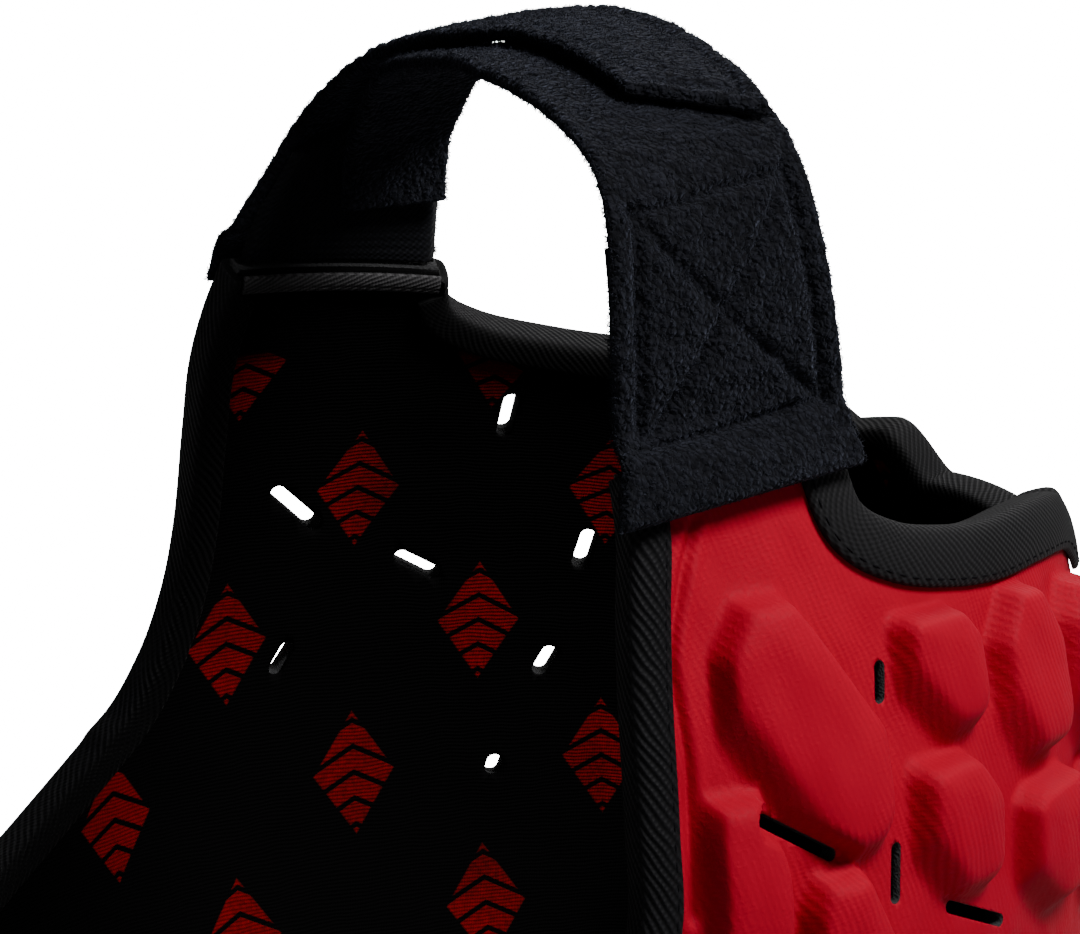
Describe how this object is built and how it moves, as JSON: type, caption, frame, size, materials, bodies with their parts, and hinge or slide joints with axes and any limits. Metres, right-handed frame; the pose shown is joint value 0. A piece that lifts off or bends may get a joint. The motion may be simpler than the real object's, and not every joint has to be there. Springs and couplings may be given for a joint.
{
  "type": "rugby headguard",
  "caption": "Soft padded headguard with raised foam blocks, cut vents, a ribbed edge tape and a wide chin strap closed in a loop.",
  "frame": {"origin": "centre of the overall box, at the level of the flat top of the crown pad that the guard rests on", "axes": "+Z from the crown towards the chin, -Y out of the face opening, +X to the wearer's right"},
  "size_m": [0.1774, 0.2154, 0.2418],
  "materials": {
    "panel_twill": "red padded twill",
    "lining_cloth": "black knitted lining with a scattered motif",
    "ribbed_tape": "charcoal ribbed woven tape",
    "hem_cloth": "grey hem cloth",
    "strap_webbing": "black webbing",
    "strap_plush": "black looped plush"
  },
  "bodies": {
    "root": {"right_side_panel": "panel_twill", "left_side_panel": "panel_twill", "centre_panel": "panel_twill", "right_lining": "lining_cloth", "left_lining": "lining_cloth", "centre_lining": "lining_cloth", "face_edge_tape": "ribbed_tape", "neck_edge_band": "ribbed_tape", "right_lining_hem": "hem_cloth", "left_lining_hem": "hem_cloth", "right_webbing_tab": "strap_webbing", "left_webbing_tab": "strap_webbing", "right_chin_strap": "strap_plush", "left_chin_strap": "strap_plush"}
  },
  "joints": []
}
